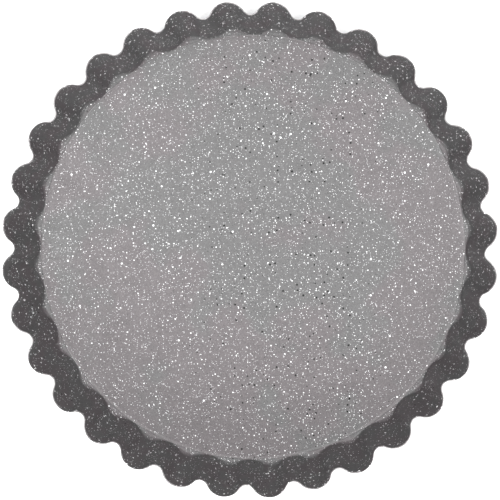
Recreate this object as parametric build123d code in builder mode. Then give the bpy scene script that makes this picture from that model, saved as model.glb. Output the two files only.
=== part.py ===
from build123d import *
from math import cos, radians, sin
import os

# Round fluted tart pan with a loose base. It is two pieces of pressed sheet steel:
#   fluted_ring  the leaning wall of upright flutes, with a flat ledge turned in at its foot
#   base_disc    the flat base, which rests on the ledge and is pushed up out of the ring
# Millimetres, +Z up. The origin is at the middle of the circle that the pan stands on, and the
# middle of an inward lobe of the wall lies on +X, so the X and Y axes both halve the pan.

# Driving dimensions
FLUTES = 32
HEIGHT = 35.0                # from the underside of the ledge to the rim
RIM_DIAMETER = 280.0         # across opposite flutes, outside, at the rim
FOOT_DIAMETER = 252.6        # the same, at the underside, if the wall met it in a sharp corner
RIM_FLUTE_DEPTH = 7.4        # from the outside of an outward lobe in to that of an inward lobe
FOOT_FLUTE_DEPTH = 3.1
RIM_LOBE_RADIUS = 10.7       # of an outward lobe's round outside, seen from above
FOOT_LOBE_RADIUS = 9.8
SHEET = 0.6                  # thickness of the steel that both pieces are pressed from
DISC_DIAMETER = 244.0
LEDGE_OVERLAP = 9.0          # how far the base reaches in over the ledge, all the way round
FOOT_BEND_RADIUS = 0.5       # inside the bend from ledge to wall
LIP_ROUNDING = 0.2           # on both edges of the trimmed rim
DISC_EDGE_ROUNDING = 0.25    # on both edges of the base

PITCH = 360 / FLUTES                                          # degrees from one flute to the next
LEDGE_HOLE_RADIUS = DISC_DIAMETER / 2 - LEDGE_OVERLAP


def polar_point(radius, angle):
    """The point at this radius and angle in degrees, on the plane of the sketch."""
    return Vector(radius * cos(radians(angle)), radius * sin(radians(angle)))


def inward_lobe_radius(tip_radius, root_radius, lobe_radius):
    """The radius that makes an inward lobe run smoothly into the outward lobes beside it."""
    centre_radius = tip_radius - lobe_radius
    drop = root_radius - centre_radius
    spread = 4 * centre_radius * sin(radians(PITCH / 4)) ** 2
    return (lobe_radius**2 - drop**2 - spread * root_radius) / (2 * drop + spread - 2 * lobe_radius)


def fluted_section(level, tip_radius, root_radius, lobe_radius):
    """The flat section at this height: arcs that bulge out and arcs that bulge in, by turns."""
    hollow_radius = inward_lobe_radius(tip_radius, root_radius, lobe_radius)
    # The two arcs meet on the line between their centres
    bulge_centre = polar_point(tip_radius - lobe_radius, 0)
    hollow_centre = polar_point(root_radius + hollow_radius, PITCH / 2)
    share = lobe_radius / (lobe_radius + hollow_radius)
    meeting = bulge_centre + (hollow_centre - bulge_centre) * share
    meeting_angle = Vector(1, 0).get_angle(meeting)
    with BuildSketch(Plane.XY.offset(level)) as section:
        with BuildLine():
            for flute in range(FLUTES):
                middle = (flute + 0.5) * PITCH
                start = polar_point(meeting.length, middle - meeting_angle)
                end = polar_point(meeting.length, middle + meeting_angle)
                next_start = polar_point(meeting.length, middle + PITCH - meeting_angle)
                ThreePointArc(start, polar_point(tip_radius, middle), end)
                ThreePointArc(end, polar_point(root_radius, middle + PITCH / 2), next_start)
        make_face()
    return section.sketch


def foot_section(level, inset):
    """The section at the wall's foot, inset from the outside of the sheet."""
    tip = FOOT_DIAMETER / 2 - inset
    return fluted_section(level, tip, tip - FOOT_FLUTE_DEPTH, FOOT_LOBE_RADIUS - inset)


def rim_section(inset):
    """The section at the rim, inset from the outside of the sheet."""
    tip = RIM_DIAMETER / 2 - inset
    return fluted_section(HEIGHT, tip, tip - RIM_FLUTE_DEPTH, RIM_LOBE_RADIUS - inset)


# Ring: one sheet, pressed into flutes and turned in at the foot
with BuildPart() as fluted_ring:
    loft([foot_section(0, 0), rim_section(0)], ruled=True)
    loft([foot_section(SHEET, SHEET), rim_section(SHEET)], ruled=True, mode=Mode.SUBTRACT)
    flat_faces = fluted_ring.faces().filter_by(Axis.Z).sort_by(Axis.Z)
    underside, ledge_top, lip = flat_faces[0], flat_faces[1], flat_faces[-1]
    fillet(underside.edges(), FOOT_BEND_RADIUS + SHEET)
    fillet(ledge_top.edges(), FOOT_BEND_RADIUS)
    fillet(lip.edges(), LIP_ROUNDING)
    Hole(LEDGE_HOLE_RADIUS)
fluted_ring.part.label = "fluted_ring"

# Base: a flat disc that lies on the ledge
with BuildPart() as base_disc:
    with BuildSketch(Plane.XY.offset(SHEET)):
        Circle(DISC_DIAMETER / 2)
    extrude(amount=SHEET)
    fillet(base_disc.edges(), DISC_EDGE_ROUNDING)
base_disc.part.label = "base_disc"

os.makedirs("parts", exist_ok=True)
export_step(fluted_ring.part, "parts/fluted_ring.step")
export_step(base_disc.part, "parts/base_disc.step")
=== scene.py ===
import cmath
from math import cos, pi, radians, sin

import bmesh
import bpy
import numpy as np
from mathutils import Matrix, Vector


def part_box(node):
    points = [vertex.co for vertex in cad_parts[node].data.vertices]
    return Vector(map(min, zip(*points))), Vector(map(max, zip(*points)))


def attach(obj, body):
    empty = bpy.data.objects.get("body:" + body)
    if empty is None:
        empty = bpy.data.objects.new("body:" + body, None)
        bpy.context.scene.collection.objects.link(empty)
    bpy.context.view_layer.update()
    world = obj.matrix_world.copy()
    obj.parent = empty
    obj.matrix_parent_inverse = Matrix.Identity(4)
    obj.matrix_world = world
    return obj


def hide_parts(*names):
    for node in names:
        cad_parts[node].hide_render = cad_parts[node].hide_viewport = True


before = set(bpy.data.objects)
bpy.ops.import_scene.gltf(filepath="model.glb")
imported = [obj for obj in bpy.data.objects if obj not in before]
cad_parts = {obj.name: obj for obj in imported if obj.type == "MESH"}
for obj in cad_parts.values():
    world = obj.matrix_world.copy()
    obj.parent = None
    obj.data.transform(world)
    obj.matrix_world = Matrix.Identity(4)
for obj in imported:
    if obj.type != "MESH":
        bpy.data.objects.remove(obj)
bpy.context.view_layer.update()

# The looks of a round fluted tart pan with a loose base, in metres, +Z up. The pan stands on z = 0.
# Two pieces: the fluted ring, which is one pressed sheet, and the flat disc that lies on its ledge.


# ---------------------------------------------------------------- sizes, worked out from the frame

def distances_from_axis(node):
    """How far each point of a CAD node is from the pan's axis."""
    return [v.co.xy.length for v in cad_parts[node].data.vertices]


_, ring_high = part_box("fluted_ring")
disc_low, disc_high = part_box("base_disc")
HEIGHT = ring_high.z
SHEET = disc_high.z - disc_low.z
DISC_RADIUS = disc_high.x
RIM_TIP = max(distances_from_axis("fluted_ring"))      # outside of an outward lobe, at the rim
LEDGE_HOLE = min(distances_from_axis("fluted_ring"))   # radius of the hole in the ledge

# The flutes and bends, as in the CAD model, but for the rounder bend below the outward lobes
FLUTES = 32
RIM_DEPTH = 0.0074          # of a flute at the rim, from outward lobe to inward lobe
FOOT_DEPTH = 0.0031         # the same at the foot
RIM_LOBE = 0.0107           # radius of an outward lobe's outside at the rim, seen from above
FOOT_LOBE = 0.0098          # the same at the foot
TIP_LEAN = 0.0137           # how much further out an outward lobe is at the rim than at the foot
BEND_AT_ROOT = 0.0005       # inside radius of the bend from ledge to wall, below an inward lobe
BEND_AT_TIP = 0.0034        # the same below an outward lobe
DISC_EDGE = 0.00025         # rounding of the disc's two edges

# How finely the surfaces are divided
ARC_STEPS = 12              # across each lobe
WALL_STEPS = 12             # up the wall
LEDGE_STEPS = 5             # across the ledge
BEND_STEPS = 9              # round the bend from ledge to wall
EDGE_STEPS = 7              # over a trimmed edge
DISC_COLUMNS = 256          # round the disc
DISC_RINGS = 40             # from the middle of the disc to its edge


# ---------------------------------------------------------------- shapes

def fluted_outline(tip, root, lobe):
    """The ring of flutes seen from above, as complex numbers: arcs that bulge out and in by turns.
    The outward lobes reach out to tip and have the radius lobe; the inward ones reach in to root."""
    half_pitch = pi / FLUTES
    centre = tip - lobe
    drop = root - centre
    spread = 4 * centre * sin(half_pitch / 2) ** 2
    # The radius that makes an inward lobe run smoothly into the outward lobes beside it
    hollow = (lobe**2 - drop**2 - spread * root) / (2 * drop + spread - 2 * lobe)
    hollow_centre = (root + hollow) * cmath.exp(1j * half_pitch)
    turn = cmath.phase(hollow_centre - centre)
    bulge_angles = np.linspace(-turn, turn, ARC_STEPS, endpoint=False)
    hollow_angles = np.linspace(turn, 2 * half_pitch - turn, ARC_STEPS, endpoint=False)
    bulge_arc = centre + lobe * np.exp(1j * bulge_angles)
    hollow_arc = hollow_centre - hollow * np.exp(1j * hollow_angles)
    flute = np.concatenate([bulge_arc, hollow_arc])
    flute_turns = np.exp(2j * half_pitch * (np.arange(FLUTES) + 0.5))
    return np.outer(flute_turns, flute).ravel()


def at_height(plan, z):
    """The points of a plan, put into space at this height."""
    return np.stack([plan.real, plan.imag, np.full(plan.shape, z)], axis=-1)


def foot_outline(inset):
    """The outline where the wall would meet the ledge in a sharp corner, this far in from outside."""
    tip = RIM_TIP - TIP_LEAN - inset
    return fluted_outline(tip, tip - FOOT_DEPTH, FOOT_LOBE - inset)


def rim_outline(inset):
    """The outline at the rim, this far in from the outside of the sheet."""
    tip = RIM_TIP - inset
    return fluted_outline(tip, tip - RIM_DEPTH, RIM_LOBE - inset)


def unit(vectors):
    """The same directions, with length 1."""
    return vectors / np.linalg.norm(vectors, axis=-1, keepdims=True)


def straight(start, end, steps):
    """Rows of points from start to end, both left out."""
    return [start + (end - start) * share for share in np.linspace(0, 1, steps + 1)[1:-1]]


def bend(before, corner, after, radius):
    """Rows of points round the arc of this radius that rounds off a corner."""
    to_before, to_after = unit(before - corner), unit(after - corner)
    half_angle = np.arccos(np.sum(to_before * to_after, axis=-1, keepdims=True)) / 2
    reach = radius / np.tan(half_angle)
    start, end = corner + reach * to_before, corner + reach * to_after
    rows = []
    for t in np.linspace(0, 1, BEND_STEPS):
        # Weights of the three points that put every row exactly on the arc
        from_start, from_corner, from_end = (1 - t) ** 2, 2 * t * (1 - t) * np.sin(half_angle), t**2
        total = from_start + from_corner + from_end
        rows.append((from_start * start + from_corner * corner + from_end * end) / total)
    return rows


def round_over(near_side, far_side, outward):
    """Rows of points over a sheet's trimmed edge, round a half circle from one side to the other."""
    middle, half = (near_side + far_side) / 2, (near_side - far_side) / 2
    push = unit(outward) * np.linalg.norm(half, axis=-1, keepdims=True)
    return [middle + half * cos(t) + push * sin(t) for t in np.linspace(0, pi, EDGE_STEPS)]


def mesh_piece(name, rows, closed):
    """A piece skinned over rows of points, each of which goes once round the pan. In a closed piece
    the last row joins the first. In any other, both of those rows are capped, round a middle point."""
    columns = len(rows[0])
    piece = bmesh.new()
    rings = [[piece.verts.new(point) for point in row] for row in rows]
    pairs = zip(rings, rings[1:] + rings[:1]) if closed else zip(rings, rings[1:])
    for ring, next_ring in pairs:
        for i in range(columns):
            j = (i + 1) % columns
            piece.faces.new((ring[i], next_ring[i], next_ring[j], ring[j]))
    if not closed:
        for ring in (rings[0], rings[-1]):
            middle = piece.verts.new(np.mean([v.co for v in ring], axis=0))
            for i in range(columns):
                piece.faces.new((middle, ring[i], ring[(i + 1) % columns]))
    bmesh.ops.recalc_face_normals(piece, faces=piece.faces)
    for face in piece.faces:
        face.smooth = True
    mesh = bpy.data.meshes.new(name)
    piece.to_mesh(mesh)
    piece.free()
    obj = bpy.data.objects.new(name, mesh)
    bpy.context.scene.collection.objects.link(obj)
    return obj


def make_ring():
    """The wall, its lip and its ledge, as one sheet followed all the way round its section."""
    inner_corner, outer_corner = at_height(foot_outline(SHEET), SHEET), at_height(foot_outline(0), 0)
    inner_rim, outer_rim = at_height(rim_outline(SHEET), HEIGHT), at_height(rim_outline(0), HEIGHT)
    wall_up = unit(outer_rim - outer_corner)
    inner_top, outer_top = inner_rim - wall_up * SHEET / 2, outer_rim - wall_up * SHEET / 2

    radial = inner_corner * (1, 1, 0)
    corner_distance = np.linalg.norm(radial, axis=-1, keepdims=True)
    radial = radial / corner_distance
    root = corner_distance.min()
    towards_tip = (corner_distance - root) / (corner_distance.max() - root)
    bend_radius = BEND_AT_ROOT + (BEND_AT_TIP - BEND_AT_ROOT) * towards_tip

    # The trimmed edge of the ledge's hole is a half circle, which begins half a sheet further out
    hole_top = radial * (LEDGE_HOLE + SHEET / 2) + (0, 0, SHEET)
    hole_bottom = radial * (LEDGE_HOLE + SHEET / 2)
    inner_bend = bend(hole_top, inner_corner, inner_top, bend_radius)
    outer_bend = bend(outer_top, outer_corner, hole_bottom, bend_radius + SHEET)
    rows = [
        *straight(hole_top, inner_bend[0], LEDGE_STEPS),
        *inner_bend,
        *straight(inner_bend[-1], inner_top, WALL_STEPS),
        *round_over(inner_top, outer_top, wall_up),
        *straight(outer_top, outer_bend[0], WALL_STEPS),
        *outer_bend,
        *straight(outer_bend[-1], hole_bottom, LEDGE_STEPS),
        *round_over(hole_bottom, hole_top, -radial),
    ]
    return mesh_piece("fluted_ring_sheet", rows, closed=True)


def make_disc():
    """The loose base: a flat round sheet with a small rounding on both edges."""
    spokes = np.exp(2j * pi * np.arange(DISC_COLUMNS) / DISC_COLUMNS)
    top, bottom = disc_high.z, disc_low.z
    flat_radius = DISC_RADIUS - DISC_EDGE

    def circle(radius, z):
        return at_height(spokes * radius, z)

    flat_radii = np.linspace(0, flat_radius, DISC_RINGS + 1)[1:]
    top_edge = []
    for t in np.linspace(0, pi / 2, EDGE_STEPS)[1:]:
        top_edge.append((DISC_RADIUS - DISC_EDGE * (1 - sin(t)), top - DISC_EDGE * (1 - cos(t))))
    bottom_edge = [(radius, top + bottom - z) for radius, z in reversed(top_edge)]
    rows = [circle(radius, top) for radius in flat_radii]
    rows += [circle(radius, z) for radius, z in top_edge + bottom_edge]
    rows += [circle(radius, bottom) for radius in reversed(flat_radii)]
    return mesh_piece("base_disc_sheet", rows, closed=False)


# ---------------------------------------------------------------- what the materials are made of

# Colours of the speckled coating, and of the metal under it, which also paints a highlight along the
# disc's edge
WARM_GREY = (0.0770, 0.0688, 0.0717, 1)
PLAIN_GREY = (0.0711, 0.0700, 0.0707, 1)
WHITE_SPECK = (0.74, 0.74, 0.75, 1)
BLACK_SPECK = (0.006, 0.006, 0.006, 1)
RUBBED_METAL_AND_HIGHLIGHT = (0.34, 0.33, 0.33, 1)

# Layers of specks, each with its spacing and its largest radius
FLAT_SPECKS = ((0.0009, 0.00017), (0.0018, 0.00027), (0.0034, 0.00038), (0.0080, 0.00058))
WALL_SPECKS = ((0.0014, 0.00029), (0.0026, 0.00044), (0.0060, 0.00057))
PORES = (0.0014, 0.00021)                # fine black specks, in all of the coating
RING_BLACK_SPECKS = (0.0050, 0.00040)
BAND_BLACK_SPECKS = (0.0038, 0.00062)    # in the disc's band
SPECK_EDGE = 0.00004                     # over which a speck's colour fades into the ground
SMALLER_SPECKS = 0.6                     # the share of a layer that is smaller than the largest

# Noises, each with the size of its lumps and its detail
RIPPLE = (0.0010, 1.0)      # makes the specks ragged
GRAIN = (0.0005, 1.0)
BLOTCHES = (0.012, 3.0)
RING_CLOUDS = (0.012, 4.0)
DISC_CLOUDS = (0.045, 4.0)
SHEEN = (0.020, 3.0)
WEAR = (0.010, 3.0)
WANDER = (0.050, 2.0)       # makes the band of black specks uneven
NOISE_SPAN = (0.3, 0.7)     # between these two lies nearly all of a noise

RIPPLE_SHIFT = 0.00022      # how far the ripple moves a place, for each unit of noise
GRAIN_RANGE = (0.75, 1.25)  # of the ground's brightness
BLOTCH_RANGE = (-0.04, 0.04)             # added to that

# The ground is plain grey where the clouds are above a level, and warm grey elsewhere
RING_CLOUD_LEVEL = 0.50
DISC_CLOUD_LEVEL = 0.56
CLOUD_FADE = 0.06           # on each side of the level
PLAIN_PATCH = (0, 0.04, 0)  # the middle of a broad patch where there are more clouds
PATCH_STRENGTH = 0.2

# Gloss and relief of the coating
ROUGHNESS_RANGE = (0.32, 0.38)
SPECULAR_LEVEL = 0.21
BUMP_STRENGTH = 0.35
BUMP_HEIGHT = 0.00003

# Brightness of the ground. The coating is the same all over, so the darker ledge and wall are painted
# shade
DISC_SHADE = 1.0
LEDGE_PAINTED_SHADE = 0.88
WALL_PAINTED_SHADE = 0.77
WALL_START = (2 * SHEET, 6 * SHEET)      # heights between which the ledge's looks turn into the wall's

# The disc's band of black specks lies along Y
BAND_PLACE = 0.04           # less the wander, this is the X of its middle
BAND_WANDER = 0.04          # for each unit of noise
BAND_SIDES = (0.03, 0.09)   # how far from its middle the specks begin to shrink, and are gone

# Worn edges, and the disc's painted edge highlight. Each reaches in from its edge, and a noise breaks all
# but the front's into patches
WEAR_SPAN = (0.40, 0.62)    # levels of the noise between which the wear grows to its most
WEAR_MOST = 0.7             # how much of the coating is gone there
LIP_REACH = 1.5 * SHEET
UNDERSIDE_REACH = 0.6 * SHEET
UNDERSIDE_SHARE = 0.4       # how worn it is, compared with the lip
# worn patches round the disc's edge, which also paint a faint highlight line there
DISC_EDGE_REACH = 0.7 * SHEET
FRONT_HIGHLIGHT_REACH = (3 * SHEET, 1.5 * SHEET)   # on the disc, where the painted highlight at the front begins and where it is full
FRONT_HIGHLIGHT_MOST = 0.12           # of that painted highlight, at the very front; it fades to nothing at the middle

FLOOR_COLOUR = (0.9, 0.9, 0.9, 1)
FLOOR_ROUGHNESS = 0.8


# ---------------------------------------------------------------- nodes

def add(tree, kind, settings=None, **inputs):
    """A node of this kind, with its settings and its inputs, which are values or other nodes' sockets.
    An input is named i and its number, or by its own name, with _ for a space."""
    made = tree.nodes.new(kind)
    for key, value in (settings or {}).items():
        setattr(made, key, value)
    for key, value in inputs.items():
        socket = made.inputs[int(key[1:])] if key[1:].isdigit() else made.inputs[key.replace("_", " ")]
        if isinstance(value, bpy.types.NodeSocket):
            tree.links.new(value, socket)
        else:
            socket.default_value = value
    return made


def maths(tree, operation, first, second=0.0):
    """The result of an operation on one or two numbers."""
    return add(tree, "ShaderNodeMath", {"operation": operation}, i0=first, i1=second).outputs[0]


def vector_maths(tree, operation, first, second):
    """The result of an operation on two places or directions."""
    return add(tree, "ShaderNodeVectorMath", {"operation": operation}, i0=first, i1=second).outputs[0]


def scaled(tree, vector, factor):
    """A place, direction or colour, times a number."""
    return add(tree, "ShaderNodeVectorMath", {"operation": "SCALE"}, i0=vector, Scale=factor).outputs[0]


def ramp(tree, value, start, end, low=0.0, high=1.0):
    """A smooth step from low to high while the value goes from start to end, and level beyond."""
    settings = {"interpolation_type": "SMOOTHSTEP"}
    limits = {"From Min": start, "From Max": end, "To Min": low, "To Max": high}
    return add(tree, "ShaderNodeMapRange", settings, Value=value, **limits).outputs[0]


def noise(tree, place, size, detail, output="Fac"):
    """A noise about 0.5, with lumps of this size. Its Color output is three such noises."""
    texture = add(tree, "ShaderNodeTexNoise", Vector=place, Scale=1 / size, Detail=detail)
    return texture.outputs[output]


def blend_colour(tree, share, first, second):
    """The first colour where the share is 0, and the second where it is 1."""
    # Of the Mix node's sockets, inputs 6 and 7 and output 2 are the ones for colours
    mixed = add(tree, "ShaderNodeMix", {"data_type": "RGBA"}, i0=share, i6=first, i7=second)
    return mixed.outputs[2]


def coordinate(tree, place, axis):
    """The X, Y or Z of a place. Z is its height above the floor."""
    return add(tree, "ShaderNodeSeparateXYZ", Vector=place).outputs[axis]


def distance_from_axis(tree, place):
    """How far a place is from the pan's axis."""
    flat = vector_maths(tree, "MULTIPLY", place, (1, 1, 0))
    return add(tree, "ShaderNodeVectorMath", {"operation": "LENGTH"}, i0=flat).outputs["Value"]


def speck_mask(tree, place, spacing, radius, amount=1.0):
    """1 inside the specks and 0 between them. They lie about this far apart, and none is larger than
    the radius; the amount makes them all smaller, to nothing."""
    cells = add(tree, "ShaderNodeTexVoronoi", Vector=place, Scale=1 / spacing)
    chance = add(tree, "ShaderNodeSeparateColor", Color=cells.outputs["Color"]).outputs["Red"]
    size = ramp(tree, chance, 0, SMALLER_SPECKS, 0, radius / spacing)
    reach = maths(tree, "MULTIPLY", size, amount)
    depth_inside = maths(tree, "SUBTRACT", reach, cells.outputs["Distance"])
    return ramp(tree, depth_inside, 0, SPECK_EDGE / spacing)


def speck_layers(tree, place, layers, amount=1.0):
    """1 inside the specks of any of the layers."""
    mask = 0.0
    for spacing, radius in layers:
        mask = maths(tree, "MAXIMUM", speck_mask(tree, place, spacing, radius, amount), mask)
    return mask


# ---------------------------------------------------------------- materials

def ragged_place(tree, place):
    """The place, moved a little by a fine ripple, which makes the specks ragged."""
    ripple = noise(tree, place, *RIPPLE, output="Color")
    centred = vector_maths(tree, "SUBTRACT", ripple, (0.5, 0.5, 0.5))
    return vector_maths(tree, "ADD", place, scaled(tree, centred, RIPPLE_SHIFT))


def coating_ground(tree, place, clouds, cloud_level, grain, shade):
    """The coating's colour between the specks: warm grey with plain clouds, grain and blotches, times the
    shade, which on the ring is painted shade.
    """
    from_patch = distance_from_axis(tree, vector_maths(tree, "SUBTRACT", place, PLAIN_PATCH))
    in_patch = ramp(tree, from_patch, DISC_RADIUS, 0, 0, PATCH_STRENGTH)
    cloudiness = maths(tree, "ADD", noise(tree, place, *clouds), in_patch)
    plain = ramp(tree, cloudiness, cloud_level - CLOUD_FADE, cloud_level + CLOUD_FADE)
    fine = ramp(tree, grain, *NOISE_SPAN, *GRAIN_RANGE)
    broad = ramp(tree, noise(tree, place, *BLOTCHES), *NOISE_SPAN, *BLOTCH_RANGE)
    brightness = maths(tree, "MULTIPLY", maths(tree, "ADD", fine, broad), shade)
    return scaled(tree, blend_colour(tree, plain, WARM_GREY, PLAIN_GREY), brightness)


def speckled_coating(name, clouds, cloud_level, shade, white_specks, black_specks, wear_and_highlight):
    """A hard grey coating full of fine specks. The last four arguments are functions that take the
    tree and the place: how bright the ground is there, darker by painted shade on the ring, whether it
    is white speck or black speck, and how much bare metal shows: wear, and a painted highlight on the
    disc's edge."""
    material = bpy.data.materials.new(name)
    material.use_nodes = True
    tree = material.node_tree
    shader = tree.nodes["Principled BSDF"]
    place = add(tree, "ShaderNodeTexCoord").outputs["Object"]
    ragged = ragged_place(tree, place)
    grain = noise(tree, place, *GRAIN)
    white = white_specks(tree, ragged)
    black = maths(tree, "MAXIMUM", black_specks(tree, ragged), speck_mask(tree, ragged, *PORES))

    colour = coating_ground(tree, place, clouds, cloud_level, grain, shade(tree, place))
    colour = blend_colour(tree, white, colour, WHITE_SPECK)
    colour = blend_colour(tree, black, colour, BLACK_SPECK)
    # Light metal where the coating is worn, and on the disc's edge also a painted highlight
    colour = blend_colour(tree, wear_and_highlight(tree, place), colour, RUBBED_METAL_AND_HIGHLIGHT)
    tree.links.new(colour, shader.inputs["Base Color"])

    # The coating has a satin sheen, a little uneven, and the black specks are dull
    sheen = ramp(tree, noise(tree, place, *SHEEN), *NOISE_SPAN, *ROUGHNESS_RANGE)
    tree.links.new(maths(tree, "MAXIMUM", sheen, black), shader.inputs["Roughness"])
    shader.inputs["Specular IOR Level"].default_value = SPECULAR_LEVEL

    # The grain and the white specks stand up a little
    height = maths(tree, "ADD", grain, white)
    bump = add(tree, "ShaderNodeBump", Strength=BUMP_STRENGTH, Distance=BUMP_HEIGHT, Height=height)
    tree.links.new(bump.outputs["Normal"], shader.inputs["Normal"])
    return material


def worn_patches(tree, place):
    """Where an edge is worn and where it isn't."""
    return ramp(tree, noise(tree, place, *WEAR), *WEAR_SPAN, 0, WEAR_MOST)


def ring_coating():
    """The ledge is coated nearly like the base, a little darker by painted shade. The wall is darker by
    painted shade, with fewer and larger specks.
    """
    def up_the_wall(tree, place, on_ledge, on_wall):
        return ramp(tree, coordinate(tree, place, "Z"), *WALL_START, on_ledge, on_wall)

    # Painted shade: darker on the ledge beside the wall, and darker still up the steep wall
    def shade(tree, place):
        return up_the_wall(tree, place, LEDGE_PAINTED_SHADE, WALL_PAINTED_SHADE)

    def white_specks(tree, place):
        on_ledge = speck_layers(tree, place, FLAT_SPECKS, up_the_wall(tree, place, 1, 0))
        on_wall = speck_layers(tree, place, WALL_SPECKS, up_the_wall(tree, place, 0, 1))
        return maths(tree, "MAXIMUM", on_ledge, on_wall)

    def black_specks(tree, place):
        return speck_mask(tree, place, *RING_BLACK_SPECKS)

    def wear_and_highlight(tree, place):
        level = coordinate(tree, place, "Z")
        lip = ramp(tree, level, HEIGHT - LIP_REACH, HEIGHT)
        underside = ramp(tree, level, UNDERSIDE_REACH, 0, 0, UNDERSIDE_SHARE)
        return maths(tree, "MULTIPLY", maths(tree, "MAXIMUM", lip, underside), worn_patches(tree, place))

    return speckled_coating("ring_coating", RING_CLOUDS, RING_CLOUD_LEVEL,
                            shade, white_specks, black_specks, wear_and_highlight)


def disc_coating():
    """The black specks lie mostly in a broad band across the base. Its edge has worn patches and a painted
    highlight, most at the front.
    """
    def shade(tree, place):
        return DISC_SHADE

    def white_specks(tree, place):
        return speck_layers(tree, place, FLAT_SPECKS)

    def black_specks(tree, place):
        wander = maths(tree, "MULTIPLY", noise(tree, place, *WANDER), BAND_WANDER)
        wandering_x = maths(tree, "ADD", coordinate(tree, place, "X"), wander)
        from_band = maths(tree, "ABSOLUTE", maths(tree, "SUBTRACT", wandering_x, BAND_PLACE))
        amount = ramp(tree, from_band, *BAND_SIDES, 1, 0)
        return speck_mask(tree, place, *BAND_BLACK_SPECKS, amount)

    def wear_and_highlight(tree, place):
        from_axis = distance_from_axis(tree, place)
        # Painted highlight: light metal just inside the disc's edge, strongest at the front and gone by
        # the middle
        most = ramp(tree, coordinate(tree, place, "Y"), 0, -DISC_RADIUS, 0, FRONT_HIGHLIGHT_MOST)
        start, full = (DISC_RADIUS - reach for reach in FRONT_HIGHLIGHT_REACH)
        front = ramp(tree, from_axis, start, full, 0, most)
        # Worn patches all round the edge, which also paint a faint highlight line
        edge = ramp(tree, from_axis, DISC_RADIUS - DISC_EDGE_REACH, DISC_RADIUS)
        worn_and_lit_edge = maths(tree, "MULTIPLY", edge, worn_patches(tree, place))
        return maths(tree, "MAXIMUM", front, worn_and_lit_edge)

    return speckled_coating("disc_coating", DISC_CLOUDS, DISC_CLOUD_LEVEL,
                            shade, white_specks, black_specks, wear_and_highlight)


def floor_paint():
    """Plain matt paint."""
    material = bpy.data.materials.new("pale_floor")
    material.use_nodes = True
    shader = material.node_tree.nodes["Principled BSDF"]
    shader.inputs["Base Color"].default_value = FLOOR_COLOUR
    shader.inputs["Roughness"].default_value = FLOOR_ROUGHNESS
    return material


# ---------------------------------------------------------------- the stage, the light and the camera

CAMERA_DISTANCE = 1.40      # from the middle of the picture
CAMERA_TILT = 4.6           # degrees away from straight above
CAMERA_BEARING = 42.0       # degrees from +X towards +Y, the side that the camera leans to
CAMERA_ROLL = -0.46         # degrees
CAMERA_SIGHT = 20.0         # how far it sees, which is past the floor's far corners
VIEW_WIDTH = 0.28055        # what the picture spans at the rim
VIEW_MIDDLE = Vector((0.0009, 0.00057, HEIGHT))   # the middle of the picture, on the rim's plane
SENSOR = 36.0               # millimetres, as Blender's camera data has it

FLOOR_REACH = 100 * HEIGHT  # from its middle to each side, so far that its edge isn't seen
FLOOR_GAP = 0.0001          # keeps the floor from lying in the same plane as the pan's underside
WORLD_STRENGTH = 0.24
LIGHT_SIZE = 0.9
LIGHT_DISTANCE = 2.5
LIGHTS = (                  # bearing from +X and elevation in degrees, and power in watts
    ("overhead_right", 0, 74, 61.0),
    ("overhead_left", 180, 74, 45.0),
    ("back", 90, 60, 12.0),
    ("back_left", 135, 60, 14.0),
    ("front", 270, 30, 36.0),
    ("front_left", 225, 30, 21.0),
    ("front_right", 315, 30, 17.0),
    ("back_right", 45, 30, 14.0),
)


def make_floor():
    """A large flat floor just under the pan."""
    signs = [(-1, -1), (1, -1), (1, 1), (-1, 1)]
    corners = [(x * FLOOR_REACH, y * FLOOR_REACH, -FLOOR_GAP) for x, y in signs]
    mesh = bpy.data.meshes.new("floor")
    mesh.from_pydata(corners, [], [(0, 1, 2, 3)])
    mesh.materials.append(floor_paint())
    floor = bpy.data.objects.new("floor", mesh)
    bpy.context.scene.collection.objects.link(floor)


def direction(bearing, elevation):
    """The way from the pan to something, from its bearing and its elevation in radians."""
    return Vector((cos(elevation) * cos(bearing), cos(elevation) * sin(bearing), sin(elevation)))


def make_camera():
    """A camera that looks at the pan from nearly straight above."""
    camera = bpy.data.objects.new("camera", bpy.data.cameras.new("camera"))
    bpy.context.scene.collection.objects.link(camera)
    back = direction(radians(CAMERA_BEARING), radians(90 - CAMERA_TILT))
    roll = radians(CAMERA_ROLL)
    # Up in the picture is +Y, turned by the roll
    right = Vector((sin(roll), cos(roll), 0)).cross(back).normalized()
    axes = Matrix((right, back.cross(right), back)).transposed()
    camera.location = VIEW_MIDDLE + back * CAMERA_DISTANCE
    camera.rotation_mode = "QUATERNION"
    camera.rotation_quaternion = axes.to_quaternion()
    camera.data.sensor_width = SENSOR
    camera.data.lens = SENSOR * CAMERA_DISTANCE / VIEW_WIDTH
    camera.data.clip_end = CAMERA_SIGHT
    bpy.context.scene.camera = camera


def make_world():
    """Plain white light from all round."""
    world = bpy.data.worlds.new("studio")
    world.use_nodes = True
    background = world.node_tree.nodes["Background"]
    background.inputs["Color"].default_value = (1, 1, 1, 1)
    background.inputs["Strength"].default_value = WORLD_STRENGTH
    bpy.context.scene.world = world


def make_light(name, bearing, elevation, power):
    """A square soft light that faces the middle of the pan."""
    data = bpy.data.lights.new(name, "AREA")
    data.size = LIGHT_SIZE
    data.energy = power
    light = bpy.data.objects.new(name, data)
    bpy.context.scene.collection.objects.link(light)
    back = direction(radians(bearing), radians(elevation))
    light.location = back * LIGHT_DISTANCE
    light.rotation_mode = "QUATERNION"
    light.rotation_quaternion = back.to_track_quat("Z", "Y")
    light.visible_camera = False


# ---------------------------------------------------------------- the scene

def finish_piece(piece, body, node, material):
    """Give a piece its material and the body that it rides on, and hide the CAD node that it stands for.
    """
    piece.data.materials.append(material)
    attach(piece, body)
    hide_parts(node)


finish_piece(make_ring(), "ring", "fluted_ring", ring_coating())
finish_piece(make_disc(), "base", "base_disc", disc_coating())
make_floor()
make_camera()
make_world()
for row in LIGHTS:
    make_light(*row)
bpy.context.scene.view_settings.view_transform = "Standard"
